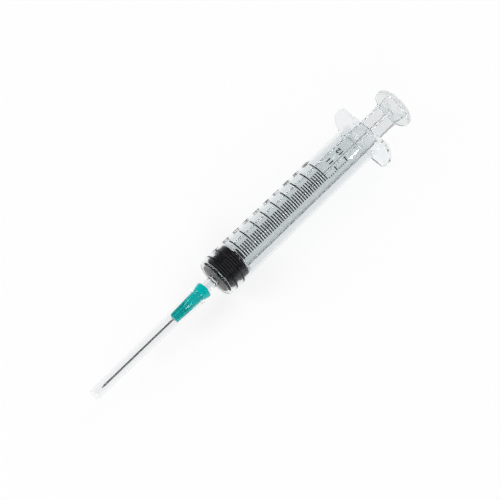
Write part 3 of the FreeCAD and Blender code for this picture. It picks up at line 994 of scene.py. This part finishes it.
tubeSizes = {
    "radius": 0.4,
    "bore": 0.26,
    "reach": 38.0,
    "grip": 7.4,
    "bevel": 14.0,
    "lancet": 21.0,
    "lancetTurn": 40.0,
    "columns": 72,
}
tubeTip = hubFront - tubeSizes["reach"]


def bevelPlace(across, up):
    # where the three ground faces cut a line that runs along the tube
    t = tubeSizes
    radius = t["radius"]
    cut = tubeTip + (up + radius) / math.tan(math.radians(t["bevel"]))
    turn = math.radians(t["lancetTurn"])
    sideStart = tubeTip - radius * (1 - math.cos(turn)) / math.tan(math.radians(t["lancet"]))
    for side in (-1, 1):
        leaning = up * math.cos(turn) + side * across * math.sin(turn)
        cut = max(cut, sideStart + (leaning + radius) / math.tan(math.radians(t["lancet"])))
    return cut


def makeTube():
    t = tubeSizes
    mesh = bmesh.new()
    rings = []
    for size, atTip in (("radius", False), ("radius", True), ("bore", True), ("bore", False)):
        radius = t[size]
        ring = []
        for i in range(t["columns"]):
            a = 2 * math.pi * i / t["columns"]
            across, up = radius * math.sin(a), radius * math.cos(a)
            along = bevelPlace(across, up) if atTip else hubFront + t["grip"]
            ring.append(mesh.verts.new(place(along, across, up)))
        rings.append(ring)
    for first, second in zip(rings, rings[1:] + rings[:1]):
        for i in range(t["columns"]):
            j = (i + 1) % t["columns"]
            mesh.faces.new((first[i], first[j], second[j], second[i]))
    return asPiece("steelTube", mesh, 25)


bondSizes = {
    "gap": 0.01,          # to the hub's well
    "channelGap": 0.005,
    "lip": 0.02,
    "crown": 0.25,
    "crownRadius": 0.55,
    "creep": 0.7,         # how far it runs out along the tube
}


def makeBond():
    d = bondSizes
    well, channel = hubSizes["wellRadius"] - d["gap"], hubSizes["channel"] - d["channelGap"]
    bottom = hubFront + hubSizes["wellDepth"] - d["gap"]
    return turned("bondBead", roundedPath([
        (bottom, channel), (bottom, well), (hubFront - d["lip"], well, edge["keen"]),
        (hubFront - d["crown"], d["crownRadius"], edge["soft"]), (hubFront - d["creep"], channel),
    ]), 64)


steelTube = makeTube()
finishPiece(steelTube, "needle", "needle_steel", needleSteel, "needle_tube")
bondBead = makeBond()
finishPiece(bondBead, "needle", "bond_resin", bondResin, "bond")
print("needle made")


sheathSizes = {
    "gap": 0.3,
    "mouth": 2.7,
    "hub": 2.1,
    "end": 1.45,
    "wall": 0.7,
    "tipRoom": 3.0,
    "bottomRound": 0.9,
    "bendRound": 6,
    "endWall": 1.2,
    "endRound": 1.2,
    "bead": 0.3,
    "beadLength": 1.2,
}


def makeSheath():
    s = sheathSizes
    mouth, wall = collarFront - s["gap"], s["wall"]
    bottom = tubeTip - s["tipRoom"]
    end, beadFront = bottom - s["endWall"], mouth - s["beadLength"]
    return turned("needleSheath", roundedPath([
        (bottom, 0),
        (bottom, s["end"], s["bottomRound"]),
        (hubFront, s["hub"], s["bendRound"]),
        (mouth, s["mouth"], edge["small"]),
        (mouth, s["mouth"] + wall + s["bead"], edge["soft"]),
        (beadFront, s["mouth"] + wall + s["bead"], edge["plain"]),
        (beadFront, s["mouth"] + wall, edge["small"]),
        (hubFront, s["hub"] + wall, s["bendRound"]),
        (end, s["end"] + wall, s["endRound"]),
        (end, 0),
    ], closed=False), closed=False)


needleSheath = makeSheath()
finishPiece(needleSheath, "sheath", "sheath_plastic", sheathPlastic, "needle_sheath")
print("sheath made")


stageLook = {
    "floorHalf": 4.0,         # metres
    "floorDrop": 0.00005,     # metres, so that the syringe doesn't share its plane
    "floorColour": (0.90, 0.90, 0.90),
    "floorRoughness": 0.9,
    "floorGleam": 0.1,
    "lift": 0.8,              # how far the seen floor is brought up to plain white
    "horizon": 0.6,
    "zenith": 0.05,
    "dim": 0.45,              # height, as a sine, above which the room is dark
    "throughPlastic": 0.15,   # how far the room is brought up to white behind clear plastic
    "aim": 20.0,              # place along the syringe that the lamps point at
}
cameraLook = {
    "place": (-0.1405, -0.1477, 0.4723),
    "turn": (23.499, 1.149, -46.097),
    "lens": 93.6,
}
lamps = {   # place and size in metres, the first side along the syringe, and power in watts
    "keyLamp": {"place": (-0.82, 0.93, 0.84), "size": (0.9, 0.9), "power": 14.0},
    "fillLamp": {"place": (-0.82, -0.93, 0.84), "size": (0.9, 0.9), "power": 14.0},
    "backLamp": {"place": (1.27, 0.22, 0.75), "size": (0.8, 0.6), "power": 14.0},
    "streakLamp": {"place": (0.299, -0.483, 0.382), "size": (0.012, 0.09), "power": 0.3},
}


def seenDirectly(graph):
    # 1 for what the camera, gloss and clear plastic show, 0 for what only lights the scene
    rays = graph.add("ShaderNodeLightPath")
    seen = rays.out("Is Camera Ray") + rays.out("Is Glossy Ray") + rays.out("Is Transmission Ray")
    return seen.clamped()


def makeFloor():
    look = stageLook
    half, height = look["floorHalf"], -look["floorDrop"]
    data = bpy.data.meshes.new("floor")
    data.from_pydata([(-half, -half, height), (half, -half, height),
                      (half, half, height), (-half, half, height)], [], [(0, 1, 2, 3)])
    floor = bpy.data.objects.new("floor", data)
    bpy.context.scene.collection.objects.link(floor)
    material = bpy.data.materials.new("paleFloor")
    material.use_nodes = True
    graph = Graph(material.node_tree)
    matt = graph.add("ShaderNodeBsdfPrincipled", {}, {
        "Base Color": (*look["floorColour"], 1), "Roughness": look["floorRoughness"],
        "Specular IOR Level": look["floorGleam"]})
    glow = graph.add("ShaderNodeEmission", {}, {"Color": (1, 1, 1, 1), "Strength": 1.0})
    mixed = graph.add("ShaderNodeMixShader", {}, {
        0: seenDirectly(graph) * look["lift"], 1: matt, 2: glow})
    graph.add("ShaderNodeOutputMaterial", {}, {"Surface": mixed})
    data.materials.append(material)


def makeRoom():
    look = stageLook
    world = bpy.data.worlds.new("softRoom")
    world.use_nodes = True
    bpy.context.scene.world = world
    graph = Graph(world.node_tree)
    direction = graph.add("ShaderNodeTexCoord", output="Generated")
    height = graph.add("ShaderNodeSeparateXYZ", {}, {0: direction}).out("Z").clamped()
    shade = look["horizon"] + (height / look["dim"]).clamped() * (look["zenith"] - look["horizon"])
    rays = graph.add("ShaderNodeLightPath")
    behind = rays.out("Is Transmission Ray") * look["throughPlastic"]
    seen = (rays.out("Is Camera Ray") + behind).clamped()
    level = seen + (1 - seen) * shade
    room = graph.add("ShaderNodeBackground", {}, {"Color": (1, 1, 1, 1), "Strength": level})
    graph.add("ShaderNodeOutputWorld", {}, {"Surface": room})


def makeLamps():
    target = place(stageLook["aim"], 0, 0)
    for name, look in lamps.items():
        data = bpy.data.lights.new(name, "AREA")
        data.shape = "RECTANGLE"
        data.size, data.size_y = look["size"]
        data.energy = look["power"]
        lamp = bpy.data.objects.new(name, data)
        bpy.context.scene.collection.objects.link(lamp)
        lamp.location = look["place"]
        back = (lamp.location - target).normalized()
        side = (Vector((1, 0, 0)) - back * back.x).normalized()
        lamp.rotation_mode = "QUATERNION"
        turn = Matrix((side, back.cross(side), back)).transposed()
        lamp.rotation_quaternion = turn.to_quaternion()


def makeCamera():
    look = cameraLook
    data = bpy.data.cameras.new("viewCamera")
    data.lens = look["lens"]
    data.clip_start, data.clip_end = 0.01, 20
    camera = bpy.data.objects.new("viewCamera", data)
    bpy.context.scene.collection.objects.link(camera)
    camera.location = look["place"]
    camera.rotation_euler = [math.radians(angle) for angle in look["turn"]]
    bpy.context.scene.camera = camera


makeFloor()
makeRoom()
makeLamps()
makeCamera()
bpy.context.scene.view_settings.view_transform = "Standard"
print("stage, light and camera made")
